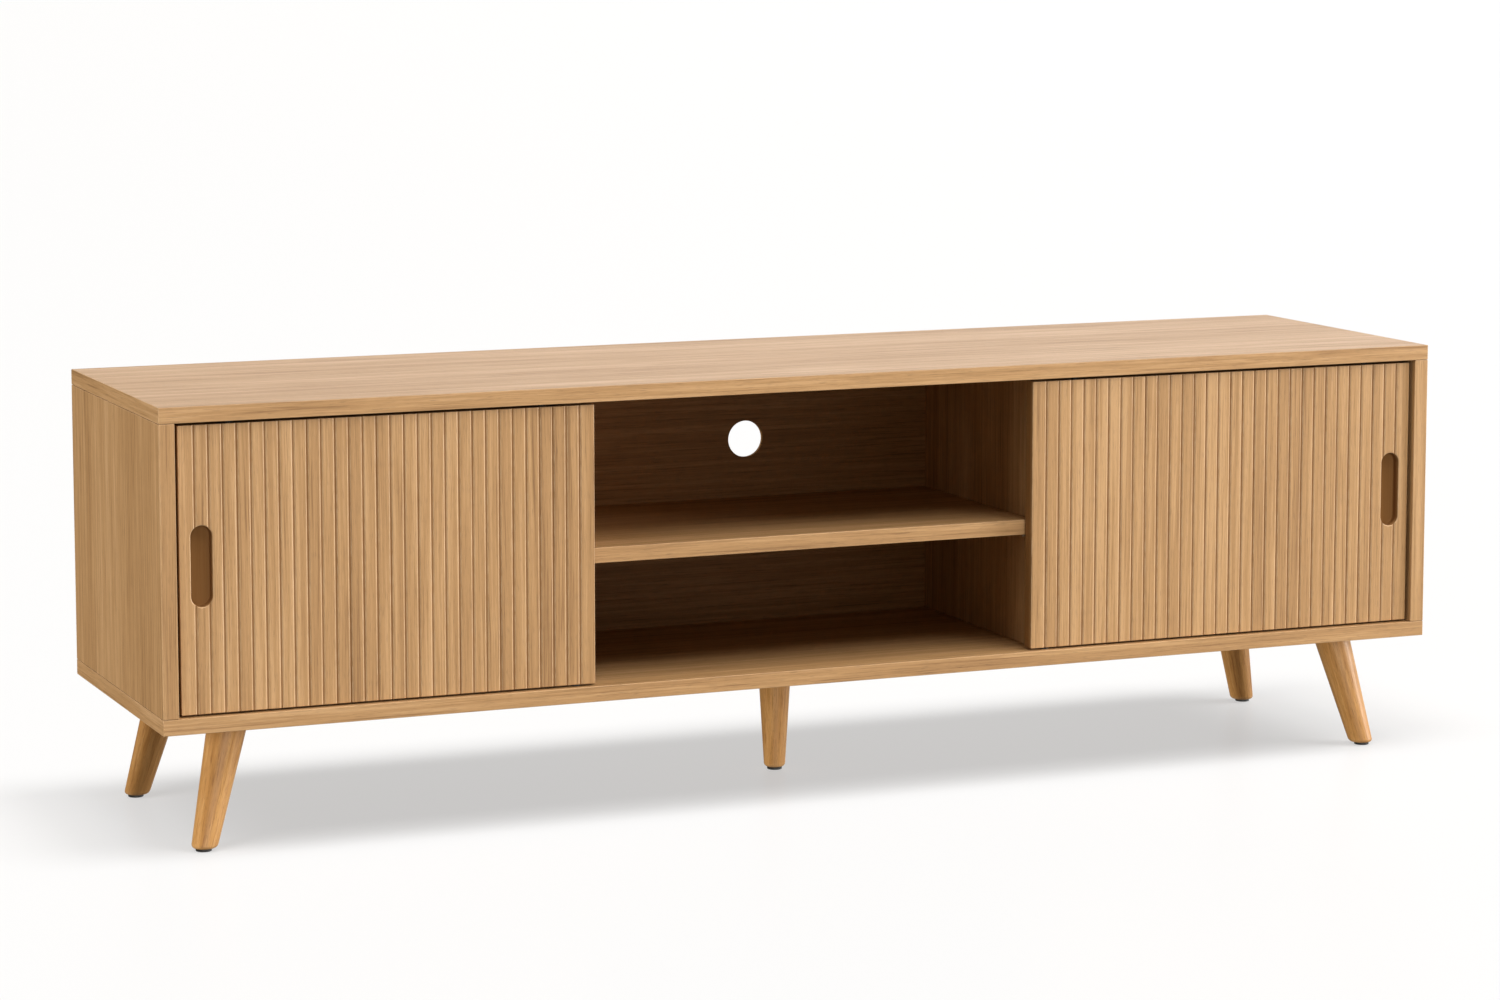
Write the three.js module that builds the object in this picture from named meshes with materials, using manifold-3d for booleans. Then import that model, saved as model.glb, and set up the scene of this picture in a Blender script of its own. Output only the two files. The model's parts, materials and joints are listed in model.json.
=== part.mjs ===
// Low media cabinet in oak: two fluted sliding doors either side of an open centre bay, on five
// turned legs. The doors hang from rollers in an aluminium track let into the underside of the
// top, and a peg under each door keeps its lower edge in line.
//
// Millimetres, +Z up. The origin is on the floor under the middle of the cabinet, +X runs to the
// right along the length and -Y faces the front.

import * as THREE from 'three';
import { mergeVertices } from 'three/addons/utils/BufferGeometryUtils.js';
import Module from 'manifold-3d';

// Driving dimensions of the carcass
const WIDTH = 1600;
const DEPTH = 396;
const BODY_HEIGHT = 362;
const LEG_HEIGHT = 142;
const PANEL = 18;
const BACK_PANEL = 5;
const GAP = 0.3; // between two pieces that touch

// Planes worked out from them
const LEFT = -WIDTH / 2;
const RIGHT = WIDTH / 2;
const FRONT = -DEPTH / 2;
const REAR = DEPTH / 2;
const BODY_BOTTOM = LEG_HEIGHT;
const BODY_TOP = LEG_HEIGHT + BODY_HEIGHT;
const FLOOR_Z = BODY_BOTTOM + PANEL; // upper face of the bottom panel
const CEILING_Z = BODY_TOP - PANEL; // lower face of the top panel
const INNER_LEFT = LEFT + PANEL;
const INNER_RIGHT = RIGHT - PANEL;

// Sliding doors. The fluting is a row of flat slats with a narrow groove between each two.
const DOOR_THICKNESS = 18;
const DOOR_RECESS = 6; // from the front of the carcass to the face of a door
const DOOR_SIDE_GAP = 4.5;
const DOOR_TOP_GAP = 3.5;
const DOOR_BOTTOM_GAP = 2.5;
const DOOR_LAP = 12.5; // how far a door reaches past its divider
const LEFT_DOOR_WIDTH = 483.5;
const RIGHT_DOOR_WIDTH = 517.5;
const LEFT_DOOR_SLATS = 30;
const RIGHT_DOOR_SLATS = 31;
const END_SLAT_EXTRA = 2;
const GROOVE_WIDTH = 5;
const GROOVE_FLOOR = 0.8;
const GROOVE_DEPTH = 1.5;
const DOOR_FRONT = FRONT + DOOR_RECESS;
const DOOR_BOTTOM = FLOOR_Z + DOOR_BOTTOM_GAP;
const DOOR_HEIGHT = CEILING_Z - DOOR_TOP_GAP - DOOR_BOTTOM;
const DOOR_MIDDLE_Y = DOOR_FRONT + DOOR_THICKNESS / 2;
const LEFT_DOOR_X = INNER_LEFT + DOOR_SIDE_GAP;
const RIGHT_DOOR_X = INNER_RIGHT - DOOR_SIDE_GAP - RIGHT_DOOR_WIDTH;
const DOOR_TRAVEL = 276; // each door, to where the two meet in the middle

// Finger pulls: upright recesses with round ends
const PULL_WIDTH = 24;
const PULL_HEIGHT = 90;
const PULL_DEPTH = 12;
const PULL_INSET = 25; // from the outer edge of the door to the middle of the pull
const PULL_RISE = 4; // above the middle of the door

// Dividers and shelves
const LEFT_DIVIDER_INNER = LEFT_DOOR_X + LEFT_DOOR_WIDTH - DOOR_LAP;
const RIGHT_DIVIDER_INNER = RIGHT_DOOR_X + DOOR_LAP;
const LEFT_DIVIDER_OUTER = LEFT_DIVIDER_INNER - PANEL;
const RIGHT_DIVIDER_OUTER = RIGHT_DIVIDER_INNER + PANEL;
const SHELF_BOTTOM = BODY_BOTTOM + 155;
const SHELF_TOP = SHELF_BOTTOM + PANEL;
const SHELF_SIDE_GAP = 1.8;
const SHELF_SETBACK = 27; // from the front of the carcass, and so for the dividers
const SIDE_SHELF_SETBACK = 48;

// Back panels slide in grooves. The centre one stands forward and leaves a cable bay behind it.
const BACK_TONGUE = 6;
const REAR_BACK_Y = REAR - 17;
const CENTRE_BACK_Y = FRONT + 330;
const CABLE_HOLE_X = 27;
const CABLE_HOLE_Z = BODY_BOTTOM + 245;
const CABLE_HOLE_RADIUS = 22.5;

// Legs: splayed at the four corners, upright in the middle
const LEG_RADIUS_TOP = 23;
const LEG_RADIUS_FOOT = 15;
const CENTRE_LEG_SLIMMER = 2; // by how much less the middle one's radius is
const LEG_EDGE = 4.6; // rounding round the foot
const FOOT_INSET_X = 56;
const FOOT_INSET_Y = 48;
const SPLAY_X = 36;
const SPLAY_Y = 21;
const CENTRE_LEG_X = 10;
const GLIDE_RADIUS = 9;
const GLIDE_HEIGHT = 3;
const GLIDE_STEM_RADIUS = 2;
const GLIDE_STEM = 12;
const BOLT_RADIUS = 4;
const BOLT_IN_LEG = 24;
const BOLT_IN_PANEL = 13;

// Top track and the hangers that run in it
const TRACK_LENGTH = 2 * (INNER_RIGHT - 8);
const TRACK_WIDTH = 13;
const TRACK_HEIGHT = 11.4;
const TRACK_WALL = 1.2;
const TRACK_SLOT = 4;
const ROLLER_RADIUS = 4;
const ROLLER_DISC_INNER = 2.3;
const ROLLER_DISC_OUTER = 5;
const ROLLER_AXLE_RADIUS = 1.5;
const ROLLER_Z = CEILING_Z + TRACK_WALL + GAP + ROLLER_RADIUS;
const HANGER_INSET = 60; // from each end of a door
const HANGER_STEM_WIDTH = 6.8;
const HANGER_STEM_THICKNESS = 2.4;
const HANGER_FOOT_LENGTH = 30;
const HANGER_FOOT_WIDTH = 7;
const HANGER_FOOT_HEIGHT = 2;
const HANGER_SHANK_RADIUS = 3;
const HANGER_SHANK = 12;

// Pegs that guide the lower edges of the doors
const PEG_RADIUS = 2.7;
const PEG_FLANGE_RADIUS = 5.5;
const PEG_FLANGE = 1.2;
const PEG_ROOT_RADIUS = 2.5;
const PEG_ROOT = 8;
const PEG_HEIGHT = 11;
const PEG_SLOT_WIDTH = 6;
const PEG_SLOT_DEPTH = 9.5;

// Shelf pins and dowels
const PIN_RADIUS = 2.5;
const PIN_LENGTH_OUT = 8;
const PIN_LENGTH_IN = 8;
const PIN_SETBACK = 40; // from the front of the carcass, and from the back panel
const DOWEL_RADIUS = 4;
const DOWEL_IN_FACE = 10;
const DOWEL_IN_EDGE = 19;
const DOWEL_Y = 130;

const ROUND = 12; // sides of a small round piece
const WIDE_ROUND = 24; // sides of a leg, a glide or the cable hole

const wasm = await Module();
wasm.setup();

// Finishes

function finish(color, roughness, metalness) {
  return new THREE.MeshStandardMaterial({ color, roughness, metalness });
}

const oakVeneer = () => finish(0xc49a68, 0.55, 0);
const solidOak = () => finish(0xb8854e, 0.5, 0);
const beech = () => finish(0xd9b98c, 0.7, 0);
const aluminium = () => finish(0xb9bcc0, 0.35, 1);
const steel = () => finish(0x9a9da1, 0.4, 1);
const blackSteel = () => finish(0x2b2a28, 0.45, 1);
const nylon = () => finish(0xe8e6df, 0.45, 0);
const blackPlastic = () => finish(0x1c1b1a, 0.6, 0);

// Solids

/** The manifold of a closed geometry. */
function solid(geometry) {
  const bare = geometry.clone();
  bare.deleteAttribute('normal');
  bare.deleteAttribute('uv');
  const merged = mergeVertices(bare, 1e-4);
  return new wasm.Manifold(new wasm.Mesh({
    numProp: 3,
    vertProperties: new Float32Array(merged.attributes.position.array),
    triVerts: new Uint32Array(merged.index.array),
  }));
}

/** The geometry of a manifold. */
function surface(manifold) {
  const mesh = manifold.getMesh();
  const geometry = new THREE.BufferGeometry();
  geometry.setAttribute('position', new THREE.BufferAttribute(mesh.vertProperties, 3));
  geometry.setIndex(new THREE.BufferAttribute(mesh.triVerts, 1));
  geometry.computeVertexNormals();
  return geometry;
}

/** A geometry with every one of the tools cut out of it. */
function cut(geometry, tools) {
  const remains = tools.reduce((body, tool) => body.subtract(solid(tool)), solid(geometry));
  return surface(remains);
}

/** Two geometries joined into one. */
function join(first, second) {
  return surface(solid(first).add(solid(second)));
}

/** A box between two opposite corners. */
function block([x0, y0, z0], [x1, y1, z1]) {
  const box = new THREE.BoxGeometry(x1 - x0, y1 - y0, z1 - z0);
  return box.translate((x0 + x1) / 2, (y0 + y1) / 2, (z0 + z1) / 2);
}

/** An upright cylinder from z0 to z1. */
function post(radius, x, y, z0, z1, sides = ROUND) {
  const cylinder = new THREE.CylinderGeometry(radius, radius, z1 - z0, sides);
  return cylinder.rotateX(Math.PI / 2).translate(x, y, (z0 + z1) / 2);
}

/** A level cylinder along X from x0 to x1. */
function bar(radius, x0, x1, y, z) {
  const cylinder = new THREE.CylinderGeometry(radius, radius, x1 - x0, ROUND);
  return cylinder.rotateZ(Math.PI / 2).translate((x0 + x1) / 2, y, z);
}

/** A solid turned about Z from [radius, z] points that run upwards. */
function turned(profile, sides = ROUND) {
  const points = profile.map(([radius, z]) => new THREE.Vector2(radius, z));
  return new THREE.LatheGeometry(points, sides).rotateX(Math.PI / 2);
}

// Carcass

/** The space that a back panel fills, with a margin for the grooves that hold it. */
function backSlab(x0, x1, y, margin) {
  const reach = BACK_TONGUE + margin;
  return block(
    [x0 - reach, y - margin, FLOOR_Z - reach],
    [x1 + reach, y + BACK_PANEL + margin, CEILING_Z + reach],
  );
}

const backs = {
  left_back_panel: [INNER_LEFT, LEFT_DIVIDER_OUTER, REAR_BACK_Y],
  right_back_panel: [RIGHT_DIVIDER_OUTER, INNER_RIGHT, REAR_BACK_Y],
  centre_back_panel: [LEFT_DIVIDER_INNER, RIGHT_DIVIDER_INNER, CENTRE_BACK_Y],
};

/** The groove that a back panel needs, cut from each panel around it. */
function backGroove(name) {
  return backSlab(...backs[name], GAP);
}

const backGrooves = Object.keys(backs).map(backGroove);

const shelves = {
  centre_shelf: {
    x0: LEFT_DIVIDER_INNER,
    x1: RIGHT_DIVIDER_INNER,
    front: FRONT + SHELF_SETBACK,
    back: CENTRE_BACK_Y,
  },
  left_bay_shelf: {
    x0: INNER_LEFT,
    x1: LEFT_DIVIDER_OUTER,
    front: FRONT + SIDE_SHELF_SETBACK,
    back: REAR_BACK_Y,
  },
  right_bay_shelf: {
    x0: RIGHT_DIVIDER_OUTER,
    x1: INNER_RIGHT,
    front: FRONT + SIDE_SHELF_SETBACK,
    back: REAR_BACK_Y,
  },
};

const PIN_Z = SHELF_BOTTOM - GAP - PIN_RADIUS;

/** Where each pin of a shelf stands: the wall it is in, which way it points, and its depth. */
function pinPlaces({ x0, x1, front, back }) {
  const frontY = Math.max(front + 10, FRONT + PIN_SETBACK);
  const backY = back - PIN_SETBACK;
  return {
    left_front: { x: x0, side: 1, y: frontY },
    left_rear: { x: x0, side: 1, y: backY },
    right_front: { x: x1, side: -1, y: frontY },
    right_rear: { x: x1, side: -1, y: backY },
  };
}

/** A shelf pin: a round stem half in the panel, with a collar against its face. */
function shelfPin() {
  return turned([
    [0, -PIN_LENGTH_IN],
    [PIN_RADIUS, -PIN_LENGTH_IN],
    [PIN_RADIUS, GAP],
    [PIN_RADIUS + 1, GAP],
    [PIN_RADIUS + 1, GAP + 1],
    [PIN_RADIUS, GAP + 1],
    [PIN_RADIUS, PIN_LENGTH_OUT],
    [0, PIN_LENGTH_OUT],
  ]).rotateY(Math.PI / 2);
}

/** The holes for every shelf pin. */
function pinHoles() {
  return Object.values(shelves).flatMap((shelf) =>
    Object.values(pinPlaces(shelf)).map(({ x, side, y }) => {
      const deep = x - side * (PIN_LENGTH_IN + GAP);
      return bar(PIN_RADIUS + GAP, Math.min(deep, x), Math.max(deep, x), y, PIN_Z);
    }));
}

/** Where the dowels stand that tie the side panels to the top and the bottom. */
function dowelPlaces() {
  const places = {};
  for (const [level, z, up] of [['top', CEILING_Z, 1], ['bottom', FLOOR_Z, -1]]) {
    for (const [end, x] of [['left', LEFT + PANEL / 2], ['right', RIGHT - PANEL / 2]]) {
      for (const [row, y] of [['front', -DOWEL_Y], ['rear', DOWEL_Y]]) {
        places[`${level}_${end}_${row}_dowel`] = { x, y, z, up };
      }
    }
  }
  return places;
}

/** One dowel's cylinder, longer in the panel's edge than in the face it meets. */
function dowel({ x, y, z, up }, margin) {
  const inFace = z + up * (DOWEL_IN_FACE + margin);
  const inEdge = z - up * (DOWEL_IN_EDGE + margin);
  return post(DOWEL_RADIUS + margin, x, y, Math.min(inFace, inEdge), Math.max(inFace, inEdge));
}

const dowelHoles = Object.values(dowelPlaces()).map((place) => dowel(place, GAP));

/** A leg's place: the middle of its top, and how far its foot stands out from there. */
function cornerLeg(sideX, sideY) {
  return {
    top: [sideX * (RIGHT - FOOT_INSET_X - SPLAY_X), sideY * (REAR - FOOT_INSET_Y - SPLAY_Y)],
    splay: [sideX * SPLAY_X, sideY * SPLAY_Y],
    slimmer: 0,
  };
}

const legs = {
  front_left: cornerLeg(-1, -1),
  rear_left: cornerLeg(-1, 1),
  centre: { top: [CENTRE_LEG_X, 0], splay: [0, 0], slimmer: CENTRE_LEG_SLIMMER },
  front_right: cornerLeg(1, -1),
  rear_right: cornerLeg(1, 1),
};

const boltHoles = Object.values(legs).map(({ top }) => post(
  BOLT_RADIUS + GAP,
  ...top,
  BODY_BOTTOM - 1,
  BODY_BOTTOM + BOLT_IN_PANEL + GAP,
));

const pegs = {
  left_door_guide: LEFT_DIVIDER_INNER - PANEL / 2,
  right_door_guide: RIGHT_DIVIDER_INNER + PANEL / 2,
};

const pegHoles = Object.values(pegs).map((x) => post(
  PEG_ROOT_RADIUS + GAP,
  x,
  DOOR_MIDDLE_Y,
  FLOOR_Z - PEG_ROOT - GAP,
  FLOOR_Z + 1,
));

/** The groove in the underside of the top that takes the track. */
function trackGroove() {
  const halfLength = TRACK_LENGTH / 2 + GAP;
  const halfWidth = TRACK_WIDTH / 2 + GAP;
  return block(
    [-halfLength, DOOR_MIDDLE_Y - halfWidth, CEILING_Z - 1],
    [halfLength, DOOR_MIDDLE_Y + halfWidth, CEILING_Z + TRACK_HEIGHT + 2 * GAP],
  );
}

function topPanel() {
  const board = block([LEFT, FRONT, CEILING_Z], [RIGHT, REAR, BODY_TOP]);
  return cut(board, [trackGroove(), ...backGrooves, ...dowelHoles]);
}

function bottomPanel() {
  const board = block([LEFT, FRONT, BODY_BOTTOM], [RIGHT, REAR, FLOOR_Z]);
  return cut(board, [...backGrooves, ...dowelHoles, ...boltHoles, ...pegHoles]);
}

/** An upright panel between the top and the bottom. */
function uprightPanel(x0, front) {
  const board = block([x0, front, FLOOR_Z + GAP], [x0 + PANEL, REAR, CEILING_Z - GAP]);
  return cut(board, [...backGrooves, ...dowelHoles, ...pinHoles()]);
}

function shelfBoard({ x0, x1, front, back }) {
  return block(
    [x0 + SHELF_SIDE_GAP, front, SHELF_BOTTOM],
    [x1 - SHELF_SIDE_GAP, back - SHELF_SIDE_GAP, SHELF_TOP],
  );
}

function cableHole() {
  const length = 4 * BACK_PANEL;
  return new THREE.CylinderGeometry(CABLE_HOLE_RADIUS, CABLE_HOLE_RADIUS, length, WIDE_ROUND)
    .translate(CABLE_HOLE_X, CENTRE_BACK_Y, CABLE_HOLE_Z);
}

// Doors

/** Plan of a fluted door: a plain back and a groove between each two slats in front. */
function doorPlan(width, slats) {
  const pitch = (width - 2 * END_SLAT_EXTRA) / slats;
  const plan = new THREE.Shape();
  plan.moveTo(0, DOOR_THICKNESS);
  plan.lineTo(0, 0);
  for (let groove = 1; groove < slats; groove += 1) {
    const x = END_SLAT_EXTRA + groove * pitch;
    plan.lineTo(x - GROOVE_WIDTH / 2, 0);
    plan.lineTo(x - GROOVE_FLOOR / 2, GROOVE_DEPTH);
    plan.lineTo(x + GROOVE_FLOOR / 2, GROOVE_DEPTH);
    plan.lineTo(x + GROOVE_WIDTH / 2, 0);
  }
  plan.lineTo(width, 0);
  plan.lineTo(width, DOOR_THICKNESS);
  plan.closePath();
  return plan;
}

/** The finger pull's recess, an upright slot with round ends. */
function pullRecess(x) {
  const radius = PULL_WIDTH / 2;
  const middle = DOOR_HEIGHT / 2 + PULL_RISE;
  const straight = PULL_HEIGHT / 2 - radius;
  const outline = new THREE.Shape();
  outline.absarc(x, middle + straight, radius, 0, Math.PI);
  outline.absarc(x, middle - straight, radius, Math.PI, 2 * Math.PI);
  outline.closePath();
  const depth = PULL_DEPTH + 1;
  const recess = new THREE.ExtrudeGeometry(outline, { depth, bevelEnabled: false, curveSegments: 12 });
  return recess.rotateX(Math.PI / 2).translate(0, PULL_DEPTH, 0);
}

/** The slot in a door's lower edge that runs over its guide peg. */
function pegSlot(x0, x1) {
  return block(
    [x0, (DOOR_THICKNESS - PEG_SLOT_WIDTH) / 2, -1],
    [x1, (DOOR_THICKNESS + PEG_SLOT_WIDTH) / 2, PEG_SLOT_DEPTH],
  );
}

/** The pocket and hole for a hanger in a door's upper edge. */
function hangerPocket(x) {
  const middle = DOOR_THICKNESS / 2;
  const halfLength = HANGER_FOOT_LENGTH / 2 + GAP;
  const halfWidth = HANGER_FOOT_WIDTH / 2 + GAP;
  const floor = DOOR_HEIGHT - HANGER_FOOT_HEIGHT - GAP;
  const pocket = block(
    [x - halfLength, middle - halfWidth, floor],
    [x + halfLength, middle + halfWidth, DOOR_HEIGHT + 1],
  );
  const hole = post(HANGER_SHANK_RADIUS + GAP, x, middle, floor - HANGER_SHANK, floor + 1);
  return join(pocket, hole);
}

/** A door, from its lower left front corner. pegX is the guide peg and towards the way it opens. */
function door({ width, slats, pullX, pegX, towards }) {
  const board = new THREE.ExtrudeGeometry(doorPlan(width, slats), {
    depth: DOOR_HEIGHT,
    bevelEnabled: false,
  });
  const near = pegX + towards * 8;
  const far = pegX - towards * (DOOR_TRAVEL + 8);
  const slot = pegSlot(Math.min(near, far), Math.max(near, far));
  const pockets = [HANGER_INSET, width - HANGER_INSET].map(hangerPocket);
  return cut(board, [pullRecess(pullX), slot, ...pockets]);
}

const doors = {
  left_door: {
    x: LEFT_DOOR_X,
    width: LEFT_DOOR_WIDTH,
    slats: LEFT_DOOR_SLATS,
    pullX: PULL_INSET,
    pegX: pegs.left_door_guide - LEFT_DOOR_X,
    towards: 1,
  },
  right_door: {
    x: RIGHT_DOOR_X,
    width: RIGHT_DOOR_WIDTH,
    slats: RIGHT_DOOR_SLATS,
    pullX: RIGHT_DOOR_WIDTH - PULL_INSET,
    pegX: pegs.right_door_guide - RIGHT_DOOR_X,
    towards: -1,
  },
};

// Door hardware

/** The track: a channel that opens downwards through a slot between two flanges. */
function track() {
  const halfWidth = TRACK_WIDTH / 2;
  const halfSlot = TRACK_SLOT / 2;
  const inside = halfWidth - TRACK_WALL;
  const section = new THREE.Shape();
  section.moveTo(-halfSlot, 0);
  section.lineTo(-halfSlot, TRACK_WALL);
  section.lineTo(-inside, TRACK_WALL);
  section.lineTo(-inside, TRACK_HEIGHT - TRACK_WALL);
  section.lineTo(inside, TRACK_HEIGHT - TRACK_WALL);
  section.lineTo(inside, TRACK_WALL);
  section.lineTo(halfSlot, TRACK_WALL);
  section.lineTo(halfSlot, 0);
  section.lineTo(halfWidth, 0);
  section.lineTo(halfWidth, TRACK_HEIGHT);
  section.lineTo(-halfWidth, TRACK_HEIGHT);
  section.lineTo(-halfWidth, 0);
  section.closePath();
  const channel = new THREE.ExtrudeGeometry(section, { depth: TRACK_LENGTH, bevelEnabled: false });
  // the section's x becomes Y and its y becomes Z, and the length runs along X
  return channel.translate(0, 0, -TRACK_LENGTH / 2).rotateX(Math.PI / 2).rotateZ(Math.PI / 2);
}

/** A hanger about its roller's axis: an eye on a stem, a foot in the door's edge and a shank. */
function hanger() {
  const half = HANGER_STEM_WIDTH / 2;
  const footTop = DOOR_BOTTOM + DOOR_HEIGHT - ROLLER_Z;
  const footBottom = footTop - HANGER_FOOT_HEIGHT;
  const outline = new THREE.Shape();
  outline.absarc(0, 0, half, 0, Math.PI);
  outline.lineTo(-half, footTop - 1);
  outline.lineTo(half, footTop - 1);
  outline.closePath();
  const eye = new THREE.Path();
  eye.absarc(0, 0, ROLLER_AXLE_RADIUS + GAP, 0, 2 * Math.PI, true);
  outline.holes.push(eye);
  const stem = new THREE.ExtrudeGeometry(outline, {
    depth: HANGER_STEM_THICKNESS,
    bevelEnabled: false,
    curveSegments: 8,
  });
  stem.rotateX(Math.PI / 2).translate(0, HANGER_STEM_THICKNESS / 2, 0);
  const foot = block(
    [-HANGER_FOOT_LENGTH / 2, -HANGER_FOOT_WIDTH / 2, footBottom],
    [HANGER_FOOT_LENGTH / 2, HANGER_FOOT_WIDTH / 2, footTop],
  );
  const shank = post(HANGER_SHANK_RADIUS, 0, 0, footBottom - HANGER_SHANK + 1, footBottom + 1);
  return join(join(stem, foot), shank);
}

/** A roller: a disc each side of the hanger on one axle, along Y. */
function roller() {
  return turned([
    [0, -ROLLER_DISC_OUTER],
    [ROLLER_RADIUS, -ROLLER_DISC_OUTER],
    [ROLLER_RADIUS, -ROLLER_DISC_INNER],
    [ROLLER_AXLE_RADIUS, -ROLLER_DISC_INNER],
    [ROLLER_AXLE_RADIUS, ROLLER_DISC_INNER],
    [ROLLER_RADIUS, ROLLER_DISC_INNER],
    [ROLLER_RADIUS, ROLLER_DISC_OUTER],
    [0, ROLLER_DISC_OUTER],
  ]).rotateX(Math.PI / 2);
}

/** A guide peg, from the upper face of the bottom panel. */
function guidePeg() {
  return turned([
    [0, -PEG_ROOT],
    [PEG_ROOT_RADIUS, -PEG_ROOT],
    [PEG_ROOT_RADIUS, GAP],
    [PEG_FLANGE_RADIUS, GAP],
    [PEG_FLANGE_RADIUS, GAP + PEG_FLANGE],
    [PEG_RADIUS, GAP + PEG_FLANGE],
    [PEG_RADIUS, PEG_HEIGHT - 1],
    [PEG_RADIUS - 1, PEG_HEIGHT],
    [0, PEG_HEIGHT],
  ]);
}

// Legs

/** A leg from the middle of its foot: a round taper that leans in as it rises. */
function leg([splayX, splayY], slimmer) {
  const foot = GLIDE_HEIGHT + GAP;
  const top = LEG_HEIGHT - GAP;
  const footRadius = LEG_RADIUS_FOOT - slimmer;
  const taper = turned([
    [0, foot],
    [footRadius - LEG_EDGE, foot],
    [footRadius - 0.3 * LEG_EDGE, foot + 0.3 * LEG_EDGE],
    [footRadius, foot + LEG_EDGE],
    [LEG_RADIUS_TOP - slimmer, top],
    [0, top],
  ], WIDE_ROUND);
  const leanX = -splayX / LEG_HEIGHT;
  const leanY = -splayY / LEG_HEIGHT;
  taper.applyMatrix4(new THREE.Matrix4().makeShear(0, 0, 0, 0, leanX, leanY));
  const boltFrom = LEG_HEIGHT - BOLT_IN_LEG - GAP;
  const boltHole = post(BOLT_RADIUS + GAP, -splayX, -splayY, boltFrom, LEG_HEIGHT + 1);
  const stemTo = GLIDE_HEIGHT + GLIDE_STEM + GAP;
  const stemHole = post(GLIDE_STEM_RADIUS + GAP, 0, 0, foot - 1, stemTo);
  return cut(taper, [boltHole, stemHole]);
}

/** A glide: a low disc under the foot with a stem up into it. */
function glide() {
  return turned([
    [0, 0],
    [GLIDE_RADIUS - 0.8, 0],
    [GLIDE_RADIUS, 0.8],
    [GLIDE_RADIUS, GLIDE_HEIGHT],
    [GLIDE_STEM_RADIUS, GLIDE_HEIGHT],
    [GLIDE_STEM_RADIUS, GLIDE_HEIGHT + GLIDE_STEM],
    [0, GLIDE_HEIGHT + GLIDE_STEM],
  ], WIDE_ROUND);
}

// The assembly

const cabinet = new THREE.Group();
const carcass = new THREE.Group();
cabinet.add(carcass);

function place(group, name, geometry, material, position = [0, 0, 0]) {
  const mesh = new THREE.Mesh(geometry, material);
  mesh.name = name;
  mesh.position.set(...position);
  group.add(mesh);
}

place(carcass, 'top_panel', topPanel(), oakVeneer());
place(carcass, 'bottom_panel', bottomPanel(), oakVeneer());
place(carcass, 'left_side_panel', uprightPanel(LEFT, FRONT), oakVeneer());
place(carcass, 'right_side_panel', uprightPanel(INNER_RIGHT, FRONT), oakVeneer());
place(carcass, 'left_divider', uprightPanel(LEFT_DIVIDER_OUTER, FRONT + SHELF_SETBACK), oakVeneer());
place(carcass, 'right_divider', uprightPanel(RIGHT_DIVIDER_INNER, FRONT + SHELF_SETBACK), oakVeneer());

for (const name of ['left_back_panel', 'right_back_panel']) {
  place(carcass, name, backSlab(...backs[name], 0), oakVeneer());
}
const centreBack = cut(backSlab(...backs.centre_back_panel, 0), [cableHole()]);
place(carcass, 'centre_back_panel', centreBack, oakVeneer());

for (const [name, shelf] of Object.entries(shelves)) {
  place(carcass, name, shelfBoard(shelf), oakVeneer());
  for (const [corner, { x, side, y }] of Object.entries(pinPlaces(shelf))) {
    const pin = side > 0 ? shelfPin() : shelfPin().rotateZ(Math.PI);
    place(carcass, `${name}_pin_${corner}`, pin, steel(), [x, y, PIN_Z]);
  }
}

for (const [name, at] of Object.entries(dowelPlaces())) {
  place(carcass, name, dowel(at, 0), beech());
}

for (const [name, { top, splay, slimmer }] of Object.entries(legs)) {
  const foot = [top[0] + splay[0], top[1] + splay[1], 0];
  place(carcass, `${name}_leg`, leg(splay, slimmer), solidOak(), foot);
  place(carcass, `${name}_glide`, glide(), blackPlastic(), foot);
  const bolt = post(BOLT_RADIUS, 0, 0, -BOLT_IN_LEG, BOLT_IN_PANEL);
  place(carcass, `${name}_leg_bolt`, bolt, steel(), [...top, LEG_HEIGHT]);
}

place(carcass, 'door_track', track(), aluminium(), [0, DOOR_MIDDLE_Y, CEILING_Z]);

for (const [name, x] of Object.entries(pegs)) {
  place(carcass, name, guidePeg(), blackPlastic(), [x, DOOR_MIDDLE_Y, FLOOR_Z]);
}

for (const [name, facts] of Object.entries(doors)) {
  const group = new THREE.Group();
  group.position.set(facts.x, 0, 0);
  cabinet.add(group);
  place(group, name, door(facts), oakVeneer(), [0, DOOR_FRONT, DOOR_BOTTOM]);
  const ends = { left: HANGER_INSET, right: facts.width - HANGER_INSET };
  for (const [end, x] of Object.entries(ends)) {
    const axis = [x, DOOR_MIDDLE_Y, ROLLER_Z];
    place(group, `${name}_${end}_hanger`, hanger(), blackSteel(), axis);
    place(group, `${name}_${end}_roller`, roller(), nylon(), axis);
  }
}

export default cabinet;
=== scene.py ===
# A low oak media cabinet with two fluted sliding doors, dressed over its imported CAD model.
#
# Metres, +Z up and -Y at the front, in the CAD model's own frame. Places and sizes come from the
# CAD boxes. Boards keep their CAD grooves and holes and get eased arrises. Doors, legs and small
# turned parts are lofted again with rounder shapes. Every wood is procedural, with a grain that
# runs along its own piece.

import itertools
import json
import math

import bmesh
import bpy
from mathutils import Matrix, Vector


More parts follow.
